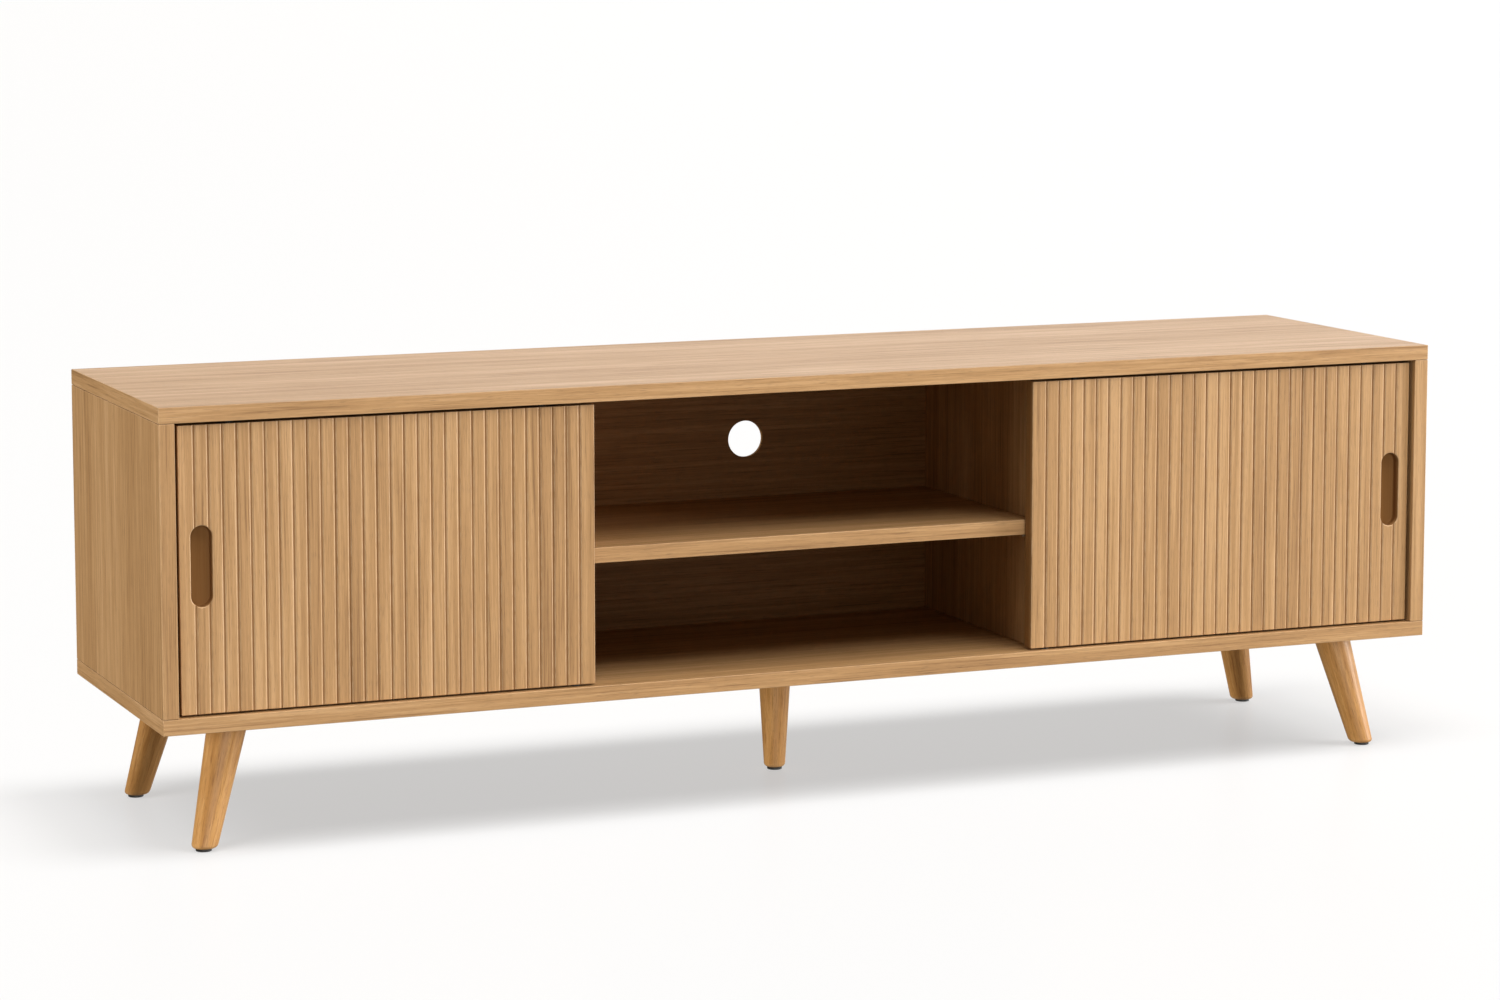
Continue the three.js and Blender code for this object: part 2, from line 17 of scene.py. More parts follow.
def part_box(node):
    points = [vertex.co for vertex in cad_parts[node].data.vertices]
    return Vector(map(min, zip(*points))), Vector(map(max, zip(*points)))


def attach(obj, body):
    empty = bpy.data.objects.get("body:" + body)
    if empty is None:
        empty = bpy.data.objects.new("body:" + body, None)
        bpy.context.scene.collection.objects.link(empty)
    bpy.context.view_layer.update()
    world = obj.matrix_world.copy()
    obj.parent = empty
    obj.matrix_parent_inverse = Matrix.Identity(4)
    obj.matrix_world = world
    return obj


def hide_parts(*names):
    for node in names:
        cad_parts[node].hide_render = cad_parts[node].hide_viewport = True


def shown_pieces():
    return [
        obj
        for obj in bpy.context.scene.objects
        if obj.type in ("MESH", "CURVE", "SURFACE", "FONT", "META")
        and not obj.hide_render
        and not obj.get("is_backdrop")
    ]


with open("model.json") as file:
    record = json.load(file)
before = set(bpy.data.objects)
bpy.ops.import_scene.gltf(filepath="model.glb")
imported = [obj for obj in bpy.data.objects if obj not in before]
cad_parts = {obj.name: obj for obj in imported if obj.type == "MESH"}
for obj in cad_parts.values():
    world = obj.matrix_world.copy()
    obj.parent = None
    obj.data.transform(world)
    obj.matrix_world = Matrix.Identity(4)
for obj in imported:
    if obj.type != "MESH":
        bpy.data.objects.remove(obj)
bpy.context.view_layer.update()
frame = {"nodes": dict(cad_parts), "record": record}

MM = 0.001
CLEARANCE = 0.3 * MM  # between two pieces that meet, as in the CAD model

# Arrises, by the radius that eases them
BOARD_ARRIS = 0.8 * MM
BACK_ARRIS = 0.4 * MM
DOOR_CORNER = 1.2 * MM
DOOR_END = 0.9 * MM
ARC_STEPS = 5
SHARP = math.radians(35)  # edges sharper than this stay sharp in the shading

# Fluting
SLATS = {"left_door": 30, "right_door": 31}
END_SLAT_EXTRA = 2 * MM
GROOVE_WIDTH = 5 * MM
GROOVE_DEPTH = 1.5 * MM
GROOVE_SHOULDER = 0.9 * MM  # radius along each slat's arris
GROOVE_VALLEY = 0.5 * MM  # radius along the bottom of each groove

# Finger pulls
PULL_WIDTH = 24 * MM
PULL_HEIGHT = 90 * MM
PULL_DEPTH = 12 * MM
PULL_RIM = 1.8 * MM
PULL_FILLET = 1.5 * MM

# Slot in a door's lower edge, and pockets in its upper edge
PEG_SLOT_WIDTH = 6 * MM
PEG_SLOT_DEPTH = 9.5 * MM
PEG_SLOT_END = 8 * MM
HANGER_SHANK_RADIUS = 3 * MM
HANGER_FOOT_HEIGHT = 2 * MM

CABLE_HOLE_RADIUS = 22.5 * MM
CABLE_RIM = 0.8 * MM

# Legs
LEG_RADIUS_TOP = 23 * MM
LEG_RADIUS_FOOT = 15 * MM
CENTRE_LEG_SLIMMER = 2 * MM  # by how much less the middle one's radius is
LEG_EDGE = 4.6 * MM
LEG_STEPS = 12  # rings between the foot's rounded edge and the top
LEG_BORE_RADIUS = 4 * MM + CLEARANCE
GLIDE_PAD = 3 * MM
STEM_RADIUS = 2 * MM
PIN_COLLAR = 1 * MM
PEG_RADIUS = 2.7 * MM
PEG_ROOT_RADIUS = 2.5 * MM
PEG_FLANGE = 1.2 * MM
LEGS = ("front_left", "rear_left", "centre", "front_right", "rear_right")

LEVELS = ("top_panel", "bottom_panel")
UPRIGHTS = ("left_side_panel", "right_side_panel", "left_divider", "right_divider")
SHELVES = ("centre_shelf", "left_bay_shelf", "right_bay_shelf")
BACKS = ("left_back_panel", "right_back_panel", "centre_back_panel")
DOORS = ("left_door", "right_door")
ENDS = ("left", "right")
ROWS = ("front", "rear")

# Camera, from a solve of the carcass's corners
CAMERA_AT = (-1.9242, -4.5192, 1.0606)
CAMERA_YAW = math.radians(22.824)
CAMERA_PITCH = math.radians(6.789)
CAMERA_LENS = 98.876
CAMERA_SHIFT = -0.08

# Stage
FLOOR_REACH = 90
FLOOR_GLOW = 0.53
WALL_GLOW = 0.5
ROOM_GLOW = 0.17
ROOM_TINT = (1.0, 0.88, 0.72, 1)
WHITE = (1, 1, 1, 1)
GLOBE_DISTANCE = 10
FLAG_INSET = 6 * MM  # how far the flags stand behind the shelves' front edges
HOLE_CARD_MARGIN = 2 * MM  # round the hole, and from the panel's back


# Meshes


def box_middle(node):
    """The middle of a CAD node's box."""
    lowest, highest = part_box(node)
    return (lowest + highest) / 2


def arc(start, end, steps=ARC_STEPS):
    """Angles from start to end in degrees, both ends included."""
    return [math.radians(start + (end - start) * i / steps) for i in range(steps + 1)]


def opening_middle(name):
    """The middle of one of the openings that the record states."""
    openings = {o["name"]: o["box_m"] for o in frame["record"]["physics"]["openings"]}
    lowest, highest = openings[name]
    return (Vector(lowest) + Vector(highest)) / 2


def circle(radius, height, middle=(0, 0), sides=64):
    """A level ring of points."""
    turns = [2 * math.pi * i / sides for i in range(sides)]
    return [
        (middle[0] + radius * math.cos(t), middle[1] + radius * math.sin(t), height)
        for t in turns
    ]


def link(name, mesh):
    obj = bpy.data.objects.new(name, mesh)
    bpy.context.scene.collection.objects.link(obj)
    return obj


def loft(name, rings):
    """A closed solid through rings that have equally many points, with a flat cap on both ends."""
    bm = bmesh.new()
    rows = [[bm.verts.new(point) for point in ring] for ring in rings]
    for row, following in zip(rows, rows[1:]):
        for i in range(len(row)):
            bm.faces.new((row[i - 1], row[i], following[i], following[i - 1]))
    bm.faces.new(rows[0])
    bm.faces.new(rows[-1])
    bmesh.ops.recalc_face_normals(bm, faces=bm.faces)
    mesh = bpy.data.meshes.new(name)
    bm.to_mesh(mesh)
    bm.free()
    return link(name, mesh)


def turned(name, profile, sides=48):
    """A solid turned about Z from (radius, height) points, first and last of which are caps."""
    return loft(name, [circle(radius, height, sides=sides) for radius, height in profile])


def eased_box(name, lowest, highest, radius):
    """A box whose edges are rounded."""
    bm = bmesh.new()
    bmesh.ops.create_cube(bm, size=1)
    size = highest - lowest
    bmesh.ops.scale(bm, vec=size, verts=bm.verts)
    bmesh.ops.translate(bm, vec=(lowest + highest) / 2, verts=bm.verts)
    bmesh.ops.bevel(bm, geom=bm.edges[:], offset=radius, segments=3, profile=0.5, affect="EDGES")
    mesh = bpy.data.meshes.new(name)
    bm.to_mesh(mesh)
    bm.free()
    return link(name, mesh)


def carve(obj, tool, operation="DIFFERENCE"):
    """Cuts the tool out of obj, or keeps what the two share, and removes the tool."""
    modifier = obj.modifiers.new("carve", "BOOLEAN")
    modifier.operation = operation
    modifier.object = tool
    modifier.solver = "EXACT"
    graph = bpy.context.evaluated_depsgraph_get()
    carved = bpy.data.meshes.new_from_object(obj.evaluated_get(graph))
    obj.modifiers.clear()
    obj.data = carved
    bpy.data.objects.remove(tool)


def smooth(obj):
    """Shades the roundings smooth and keeps the flats flat."""
    obj.data.shade_smooth()
    obj.data.set_sharp_from_angle(angle=SHARP)
    normals = obj.modifiers.new("normals", "WEIGHTED_NORMAL")
    normals.keep_sharp = True
    normals.weight = 100


def settle(obj, material, body, slot, *nodes):
    """Gives a finished piece its material and its body, and hides the CAD nodes it stands for; slot
    is not used.
    """
    obj.data.materials.clear()
    obj.data.materials.append(material)
    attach(obj, body)
    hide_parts(*nodes)


# Node helpers


class Nodes:
    """A node tree, with short ways to add nodes to it."""

    def __init__(self, owner):
        owner.use_nodes = True
        self.tree = owner.node_tree
        self.places = self.add("ShaderNodeTexCoord")

    def add(self, kind, inputs=None, **settings):
        """Adds a node. inputs holds sockets by name or number, each a value or another's output."""
        node = self.tree.nodes.new(kind)
        for name, value in settings.items():
            setattr(node, name, value)
        for socket, value in (inputs or {}).items():
            self.feed(node.inputs[socket], value)
        return node

    def feed(self, socket, value):
        if isinstance(value, bpy.types.NodeSocket):
            self.tree.links.new(value, socket)
        else:
            socket.default_value = value

    def math(self, operation, *values):
        return self.add("ShaderNodeMath", dict(enumerate(values)), operation=operation).outputs[0]

    def vector(self, x, y, z):
        return self.add("ShaderNodeCombineXYZ", {0: x, 1: y, 2: z}).outputs[0]

    def split(self, vector):
        return self.add("ShaderNodeSeparateXYZ", {0: vector}).outputs

    def spread(self, value, low, high, to_low=0.0, to_high=1.0, smooth=False):
        """value, moved from the range low..high to another one and held inside it."""
        steps = "SMOOTHSTEP" if smooth else "LINEAR"
        inputs = {0: value, 1: low, 2: high, 3: to_low, 4: to_high}
        return self.add("ShaderNodeMapRange", inputs, interpolation_type=steps).outputs[0]

    def noise(self, vector, detail, roughness=0.5, scale=1.0):
        inputs = {"Vector": vector, "Scale": scale, "Detail": detail, "Roughness": roughness}
        return self.add("ShaderNodeTexNoise", inputs).outputs[0]

    def mix(self, factor, first, second, blend="MIX"):
        """Two colours mixed."""
        # the node has sockets for every kind of data: 6, 7 and output 2 are the colours
        inputs = {0: factor, 6: first, 7: second}
        return self.add("ShaderNodeMix", inputs, data_type="RGBA", blend_type=blend).outputs[2]

    def ramp(self, factor, stops):
        node = self.add("ShaderNodeValToRGB", {0: factor})
        elements = node.color_ramp.elements
        while len(elements) < len(stops):
            elements.new(0.5)
        for element, (place, colour) in zip(elements, stops):
            element.position = place
            element.color = (*colour, 1)
        return node.outputs[0]

    def bump(self, height, strength, distance):
        inputs = {"Height": height, "Strength": strength, "Distance": distance}
        return self.add("ShaderNodeBump", inputs).outputs[0]


class Shader(Nodes):
    """A new material and its nodes."""

    def __init__(self, name):
        self.material = bpy.data.materials.new(name)
        super().__init__(self.material)
        self.surface = self.tree.nodes["Principled BSDF"]


# Woods

VENEER = (
    (0.0, (0.300, 0.155, 0.056)),
    (0.35, (0.425, 0.232, 0.092)),
    (0.7, (0.490, 0.277, 0.115)),
    (1.0, (0.580, 0.345, 0.160)),
)
SOLID_OAK = (
    (0.0, (0.350, 0.150, 0.037)),
    (0.35, (0.460, 0.215, 0.058)),
    (0.7, (0.530, 0.260, 0.075)),
    (1.0, (0.610, 0.320, 0.105)),
)
BEECH = (
    (0.0, (0.480, 0.300, 0.150)),
    (0.5, (0.590, 0.400, 0.220)),
    (1.0, (0.680, 0.490, 0.300)),
)
# lighter oak for the arrises: where they are worn, and on the boards and door slats also as a
# painted highlight
WEAR_AND_HIGHLIGHT_OAK = (0.66, 0.46, 0.27, 1)
# darker oak: painted shade in the grooves' valleys and in the finger pulls
GROOVE_SHADE_OAK = (0.20, 0.088, 0.026, 1)
# painted highlight: the slats' arrises are lightened this many times as much as a board's
SLAT_HIGHLIGHT = 1.9  # on the slats' arrises, where a board's have 1


def grain_places(shader, along, lean):
    """Coordinates whose first axis runs with the grain. lean follows a leg's slope."""
    x, y, z = shader.split(shader.places.outputs["Object"])
    if along == "Z":
        leant_x = shader.math("MULTIPLY_ADD", z, -lean[0], x)
        leant_y = shader.math("MULTIPLY_ADD", z, -lean[1], y)
        return z, leant_x, leant_y
    # a strip of edge veneer covers each end, with its own grain along the strip
    normal_x = shader.split(shader.places.outputs["Normal"])[0]
    on_end = shader.math("GREATER_THAN", shader.math("ABSOLUTE", normal_x), 0.7)
    off_end = shader.math("SUBTRACT", 1.0, on_end)
    with_grain = shader.math(
        "ADD", shader.math("MULTIPLY", x, off_end), shader.math("MULTIPLY", y, on_end)
    )
    across = shader.math(
        "ADD", shader.math("MULTIPLY", y, off_end), shader.math("MULTIPLY", x, on_end)
    )
    return with_grain, across, z


def oak_figure(shader, along, seed, lean=(0, 0)):
    """An oak's figure: its tone, mostly between 0 and 1, and its fibres and pores."""
    length, across, depth = grain_places(shader, along, lean)
    shift = 3.7 * seed
    slow = shader.vector(
        shader.math("MULTIPLY_ADD", length, 1.6, shift),
        shader.math("MULTIPLY", across, 7.0),
        shader.math("MULTIPLY", depth, 7.0),
    )
    wander = shader.math("MULTIPLY_ADD", shader.noise(slow, detail=1), 0.016, -0.008)
    across = shader.math("ADD", across, wander)

    def layer(length_scale, across_scale, detail, roughness=0.55):
        stretched = shader.vector(
            shader.math("MULTIPLY_ADD", length, length_scale, shift),
            shader.math("MULTIPLY_ADD", across, across_scale, shift),
            shader.math("MULTIPLY", depth, across_scale),
        )
        return shader.noise(stretched, detail=detail, roughness=roughness)

    # each layer by its scale along and across the grain, in features per metre
    leaves = shader.spread(layer(0.5, 9.0, 0), 0.3, 0.7)
    bands = shader.spread(layer(1.1, 48.0, 3), 0.3, 0.7)
    streaks = shader.spread(layer(4.0, 210.0, 3, 0.7), 0.35, 0.65)
    lines = shader.spread(layer(7.0, 520.0, 2), 0.56, 0.70)
    fibres = layer(30.0, 1200.0, 3, 0.6)
    pores = shader.spread(layer(60.0, 2000.0, 1), 0.60, 0.70)
    tone = shader.math("MULTIPLY", leaves, 0.18)
    tone = shader.math("MULTIPLY_ADD", bands, 0.28, tone)
    tone = shader.math("MULTIPLY_ADD", streaks, 0.38, tone)
    tone = shader.math("MULTIPLY_ADD", lines, -0.36, tone)
    tone = shader.math("MULTIPLY_ADD", fibres, 0.38, tone)
    return tone, fibres, pores


def board_edges(shader, lowest, highest):
    """1 on a board's arrises, falling to 0 a little way in, from the board's own box."""
    point = shader.places.outputs["Object"]
    middle = (lowest + highest) / 2
    half = (highest - lowest) / 2
    offset = shader.add("ShaderNodeVectorMath", {0: point, 1: middle}, operation="SUBTRACT")
    size = shader.add("ShaderNodeVectorMath", {0: offset.outputs[0]}, operation="ABSOLUTE")
    depth = shader.add(
        "ShaderNodeVectorMath", {0: half, 1: size.outputs[0]}, operation="SUBTRACT"
    )
    a, b, c = shader.split(depth.outputs[0])
    # the middle one of the three depths is the distance to the nearest arris
    low = shader.math("MINIMUM", a, b)
    high = shader.math("MAXIMUM", a, b)
    distance = shader.math("MAXIMUM", low, shader.math("MINIMUM", high, c))
    return shader.spread(distance, 0.0, 1.6 * MM, 1.0, 0.0, smooth=True)


def finish_oak(shader, tone, fibres, pores, wear_and_highlight, palette):
    """Colour, sheen and relief of lacquered oak."""
    colour = shader.ramp(shader.spread(tone, 0.18, 0.82), palette)
    shade = shader.spread(pores, 0.0, 1.0, 1.0, 0.70)
    grey = shader.add("ShaderNodeCombineColor", {0: shade, 1: shade, 2: shade}).outputs[0]
    colour = shader.mix(1.0, colour, grey, "MULTIPLY")
    # the arrises are lightened in patches: worn feet on the legs, and a painted highlight as well
    # on the boards and door slats
    edge_patches = shader.noise(shader.places.outputs["Object"], detail=3, scale=90)
    amount = shader.math("MULTIPLY", wear_and_highlight, shader.spread(edge_patches, 0.3, 0.7, 0.05, 0.35))
    colour = shader.mix(amount, colour, WEAR_AND_HIGHLIGHT_OAK)
    shader.feed(shader.surface.inputs["Base Color"], colour)
    shader.feed(shader.surface.inputs["Roughness"], shader.spread(tone, 0.2, 0.9, 0.52, 0.40))
    height = shader.math("MULTIPLY_ADD", pores, -0.7, fibres)
    shader.feed(shader.surface.inputs["Normal"], shader.bump(height, 0.25, 0.15 * MM))
    shader.surface.inputs["IOR"].default_value = 1.48
    return shader.material


def board_oak(name, along, node, seed):
    """Veneered board, with its arrises a little worn and painted lighter as a highlight."""
    shader = Shader(name)
    tone, fibres, pores = oak_figure(shader, along, seed)
    wear_and_highlight = board_edges(shader, *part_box(node))
    return finish_oak(shader, tone, fibres, pores, wear_and_highlight, VENEER)


def door_oak(name, node, seed, painted_brightening):
    """Fluted oak: each slat has a tone of its own, a painted highlight on its arrises and painted
    shade in the grooves and pull.
    """
    shader = Shader(name)
    lowest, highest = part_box(node)
    tone, fibres, pores = oak_figure(shader, "Z", seed)
    x, y, _ = shader.split(shader.places.outputs["Object"])
    pitch = (highest.x - lowest.x - 2 * END_SLAT_EXTRA) / SLATS[node]
    first = lowest.x + END_SLAT_EXTRA
    slat = shader.math("FLOOR", shader.math("DIVIDE", shader.math("SUBTRACT", x, first), pitch))
    chance = shader.add("ShaderNodeTexWhiteNoise", {"W": slat}, noise_dimensions="1D").outputs[0]
    # each slat's random tone, moved paler by the door's painted brightening
    own = shader.spread(chance, 0.0, 1.0, painted_brightening - 0.08, painted_brightening + 0.08)
    tone = shader.math("ADD", tone, own)
    depth = shader.math("SUBTRACT", y, lowest.y)
    # painted highlight: the rounded shoulders of each groove are lightened, more strongly than a
    # board's worn arrises
    rising = shader.spread(depth, 0.03 * MM, 0.25 * MM, 0.0, SLAT_HIGHLIGHT, smooth=True)
    falling = shader.spread(depth, 0.5 * MM, 1.2 * MM, 1.0, 0.0, smooth=True)
    wear_and_highlight = shader.math("MULTIPLY", rising, falling)
    material = finish_oak(shader, tone, fibres, pores, wear_and_highlight, VENEER)
    colour = shader.surface.inputs["Base Color"].links[0].from_socket
    # painted shade: the grooves' valleys and the pull's recess are darkened with a dark oak and
    # given less specular
    valley = shader.spread(depth, 0.7 * MM, 0.9 * GROOVE_DEPTH, 0.0, 0.6, smooth=True)
    recess_shade = shader.spread(depth, 2 * GROOVE_DEPTH, 5 * GROOVE_DEPTH, 0.0, 0.3, smooth=True)
    amount = shader.math("ADD", valley, recess_shade)
    shader.feed(shader.surface.inputs["Base Color"], shader.mix(amount, colour, GROOVE_SHADE_OAK))
    gloss = shader.math("MULTIPLY_ADD", amount, -0.5, 0.5)
    shader.feed(shader.surface.inputs["Specular IOR Level"], gloss)
    return material


def leg_oak(name, node, lean, seed):
    """Solid oak, with its grain along the leg and the rim of the foot a little worn."""
    shader = Shader(name)
    tone, fibres, pores = oak_figure(shader, "Z", seed, lean)
    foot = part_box(node)[0].z
    z = shader.split(shader.places.outputs["Object"])[2]
    wear_and_highlight = shader.spread(z, foot, foot + 1.4 * LEG_EDGE, 1.0, 0.0, smooth=True)
    return finish_oak(shader, tone, fibres, pores, wear_and_highlight, SOLID_OAK)


def beech_wood():
    """Raw beech, with the oak's figure in paler tones."""
    shader = Shader("beech")
    tone, fibres, pores = oak_figure(shader, "Z", 9)
    return finish_oak(shader, tone, fibres, pores, 0.0, BEECH)


# Metals and plastics


def metal(name, colour, roughness, streak):
    """Metal with a drawn or turned finish: fine streaks and small changes of gloss."""
    shader = Shader(name)
    x, y, z = shader.split(shader.places.outputs["Object"])
    stretched = shader.vector(
        shader.math("MULTIPLY", x, streak[0]),
        shader.math("MULTIPLY", y, streak[1]),
        shader.math("MULTIPLY", z, streak[2]),
    )
    lines = shader.noise(stretched, detail=3)
    dark = tuple(0.86 * c for c in colour)
    light = tuple(min(1.0, 1.08 * c) for c in colour)
    stops = ((0.3, dark), (0.7, light))
    shader.feed(shader.surface.inputs["Base Color"], shader.ramp(lines, stops))
    gloss = shader.spread(lines, 0.3, 0.7, roughness - 0.07, roughness + 0.07)
    shader.feed(shader.surface.inputs["Roughness"], gloss)
    shader.feed(shader.surface.inputs["Normal"], shader.bump(lines, 0.1, 0.05 * MM))
    shader.surface.inputs["Metallic"].default_value = 1.0
    return shader.material


def plastic(name, colour, roughness):
    """Moulded plastic with a fine sparked texture."""
    shader = Shader(name)
    texture = shader.noise(shader.places.outputs["Object"], detail=2, scale=2600)
    cloud = shader.noise(shader.places.outputs["Object"], detail=2, scale=120)
    light = tuple(min(1.0, 1.25 * c + 0.004) for c in colour)
    stops = ((0.3, colour), (0.75, light))
    shader.feed(shader.surface.inputs["Base Color"], shader.ramp(cloud, stops))
    gloss = shader.spread(texture, 0.3, 0.7, roughness - 0.06, roughness + 0.06)
    shader.feed(shader.surface.inputs["Roughness"], gloss)
    shader.feed(shader.surface.inputs["Normal"], shader.bump(texture, 0.15, 0.05 * MM))
    return shader.material


# Boards


def cad_board(node):
    """A copy of a board's CAD shape, with its grooves and holes."""
    mesh = frame["nodes"][node].data.copy()
    bm = bmesh.new()
    bm.from_mesh(mesh)
    bmesh.ops.remove_doubles(bm, verts=bm.verts, dist=0.01 * MM)
    bm.to_mesh(mesh)
    bm.free()
    return link(f"{node}_board", mesh)


def grooved_board(node):
    """The CAD board with its arrises rounded."""
    board = cad_board(node)
    carve(board, eased_box("easing", *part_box(node), BOARD_ARRIS), "INTERSECT")
    return board


def plain_board(node, arris=BOARD_ARRIS):
    return eased_box(f"{node}_board", *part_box(node), arris)


def holed_back(node):
    """The centre back panel, with a round cable hole whose rims are eased."""
    lowest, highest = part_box(node)
    middle = opening_middle("cable_hole")
    rim = []
    for angle in arc(15, 90):
        radius = CABLE_HOLE_RADIUS + CABLE_RIM * (1 - math.sin(angle))
        rim.append((radius, CABLE_RIM * (1 - math.cos(angle))))
    rim.insert(0, (CABLE_HOLE_RADIUS + CABLE_RIM, -CABLE_RIM))
    thickness = highest.y - lowest.y
    profile = rim + [(radius, thickness - depth) for radius, depth in reversed(rim)]
    rings = []
    for radius, depth in profile:
        ring = circle(radius, 0, sides=96)
        rings.append([(middle.x + u, lowest.y + depth, middle.z + v) for u, v, _ in ring])
    board = plain_board(node, BACK_ARRIS)
    carve(board, loft("cable_cutter", rings))
    return board


def dress_board(board, node, along, seed):
    smooth(board)
    settle(board, board_oak(f"oak_{node}", along, node, seed), "carcass", "oak_veneer", node)


def dress_boards():
    for seed, node in enumerate(LEVELS, 1):
        dress_board(grooved_board(node), node, "X", seed)
    for seed, node in enumerate(SHELVES, 6):
        dress_board(plain_board(node), node, "X", seed)
    for seed, node in enumerate(UPRIGHTS, 11):
        dress_board(grooved_board(node), node, "Z", seed)
    for seed, node in enumerate(BACKS, 21):
        back = holed_back(node) if node == "centre_back_panel" else plain_board(node, BACK_ARRIS)
        dress_board(back, node, "X", seed)


# Doors


def groove(middle):
    """Plan of one groove: a shallow V with its shoulders and its valley rounded."""
    half = GROOVE_WIDTH / 2
    rounding = GROOVE_SHOULDER + GROOVE_VALLEY
    surplus = rounding - GROOVE_DEPTH
    slope = math.asin(rounding / math.hypot(half, surplus)) - math.atan2(surplus, half)
    side = []
    steps = 3
    for step in range(steps + 1):
        angle = slope * step / steps
        across = GROOVE_SHOULDER * math.sin(angle) - half
        side.append((across, GROOVE_SHOULDER * (1 - math.cos(angle))))
    for step in range(steps):
        angle = slope * (1 - step / steps)
        depth = GROOVE_DEPTH - GROOVE_VALLEY * (1 - math.cos(angle))
        side.append((-GROOVE_VALLEY * math.sin(angle), depth))
    mirrored = [(-across, depth) for across, depth in reversed(side)]
    valley = [(0, GROOVE_DEPTH)]
    return [(middle + across, depth) for across, depth in side + valley + mirrored]


def corner(x, y, start, radius):
    """Plan of a quarter circle round the point x, y."""
    return [(x + radius * math.cos(a), y + radius * math.sin(a)) for a in arc(start, start + 90)]


def door_plan(width, thickness, slats, inset):
    """The fluted outline from the left end, y growing to the back, its flat faces set in."""
    pitch = (width - 2 * END_SLAT_EXTRA) / slats
    radius = DOOR_CORNER - inset
    near, far, back = DOOR_CORNER, width - DOOR_CORNER, thickness - DOOR_CORNER
    plan = corner(near, near, 180, radius)
    for index in range(1, slats):
        middle = END_SLAT_EXTRA + index * pitch
        plan += [(x, max(depth, inset)) for x, depth in groove(middle)]
    plan += corner(far, near, 270, radius)
    plan += corner(far, back, 0, radius)
    plan += corner(near, back, 90, radius)
    return plan


def fluted_slab(name, lowest, highest, slats):
    """A door's board with all of its flutes, its upper and lower edges eased."""
    size = highest - lowest
    levels = []
    for angle in arc(0, 90, 3):
        levels.append((DOOR_END * (1 - math.cos(angle)), DOOR_END * (1 - math.sin(angle))))
    levels += [(size.z - height, inset) for height, inset in reversed(levels)]
    rings = []
    for height, inset in levels:
        plan = door_plan(size.x, size.y, slats, inset)
        rings.append([(lowest.x + x, lowest.y + y, lowest.z + height) for x, y in plan])
    return loft(name, rings)


def stadium(x, z, offset, y):
    """An upright slot's outline with round ends, grown outwards by offset."""
    radius = PULL_WIDTH / 2 + offset
    rise = PULL_HEIGHT / 2 - PULL_WIDTH / 2
    points = []
    for start, middle in ((0, z + rise), (180, z - rise)):
        for angle in arc(start, start + 180, 28):
            points.append((x + radius * math.cos(angle), y, middle + radius * math.sin(angle)))
    return points


def pull_cutter(x, z, face):
    """What the finger pull takes out of the door: a round rim, a wall and a filleted floor."""
    profile = [(1.3 * PULL_RIM, -2 * MM), (1.3 * PULL_RIM, -0.1 * MM)]
    for angle in arc(15, 90):
        profile.append((PULL_RIM * (1 - math.sin(angle)), PULL_RIM * (1 - math.cos(angle))))
    for angle in arc(0, 90):
        inwards = PULL_FILLET * (1 - math.cos(angle))
        profile.append((-inwards, PULL_DEPTH - PULL_FILLET + PULL_FILLET * math.sin(angle)))
    return loft("pull_cutter", [stadium(x, z, offset, face + depth) for offset, depth in profile])


def block(name, lowest, highest):
    """A plain box to cut with."""
    corners = [(0, 0), (1, 0), (1, 1), (0, 1)]
    size = Vector(highest) - Vector(lowest)
    rings = [
        [(lowest[0] + u * size.x, lowest[1] + v * size.y, z) for u, v in corners]
        for z in (lowest[2], highest[2])
    ]
    return loft(name, rings)


def door_travel(node):
    """How far the record lets a door slide."""
    joints = frame["record"]["behaviour"]["joints"]
    return next(joint["range_m"][1] for joint in joints if joint["child"] == node)


def cut_peg_slot(door, node):
    """The slot in the lower edge that runs over the guide peg."""
    lowest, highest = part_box(node)
    peg = box_middle(f"{node}_guide")
    towards = 1 if node == "left_door" else -1
    reach = (
        peg.x + towards * PEG_SLOT_END,
        peg.x - towards * (door_travel(node) + PEG_SLOT_END),
    )
    half = PEG_SLOT_WIDTH / 2
    low = (min(reach), peg.y - half, lowest.z - 1 * MM)
    high = (max(reach), peg.y + half, lowest.z + PEG_SLOT_DEPTH)
    carve(door, block("slot_cutter", low, high))


def cut_hanger_pocket(door, node, end):
    """The pocket and hole that take a hanger in the upper edge."""
    low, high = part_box(f"{node}_{end}_hanger")
    middle = (low + high) / 2
    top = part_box(node)[1].z
    floor = top - HANGER_FOOT_HEIGHT - CLEARANCE
    grown = (low.x - CLEARANCE, low.y - CLEARANCE, floor)
    carve(door, block("pocket", grown, (high.x + CLEARANCE, high.y + CLEARANCE, top + 1 * MM)))
    radius = HANGER_SHANK_RADIUS + CLEARANCE
    place = (middle.x, middle.y)
    depths = (low.z - CLEARANCE, floor + 0.5 * MM)
    carve(door, loft("shank_hole", [circle(radius, z, place, sides=24) for z in depths]))


def fluted_door(node, seed, painted_brightening):
    """A finished door. Its last argument is how much paler its oak is painted than the boards, a
    painted brightening that stands in for more light falling on it.
    """
    lowest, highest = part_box(node)
    door = fluted_slab(f"{node}_fluted", lowest, highest, SLATS[node])
    pull = opening_middle(node.replace("door", "finger_pull"))
    carve(door, pull_cutter(pull.x, pull.z, lowest.y))
    cut_peg_slot(door, node)
    for end in ENDS:
        cut_hanger_pocket(door, node, end)
    smooth(door)
    settle(door, door_oak(f"oak_{node}", node, seed, painted_brightening), node, "oak_door", node)


# Legs and glides


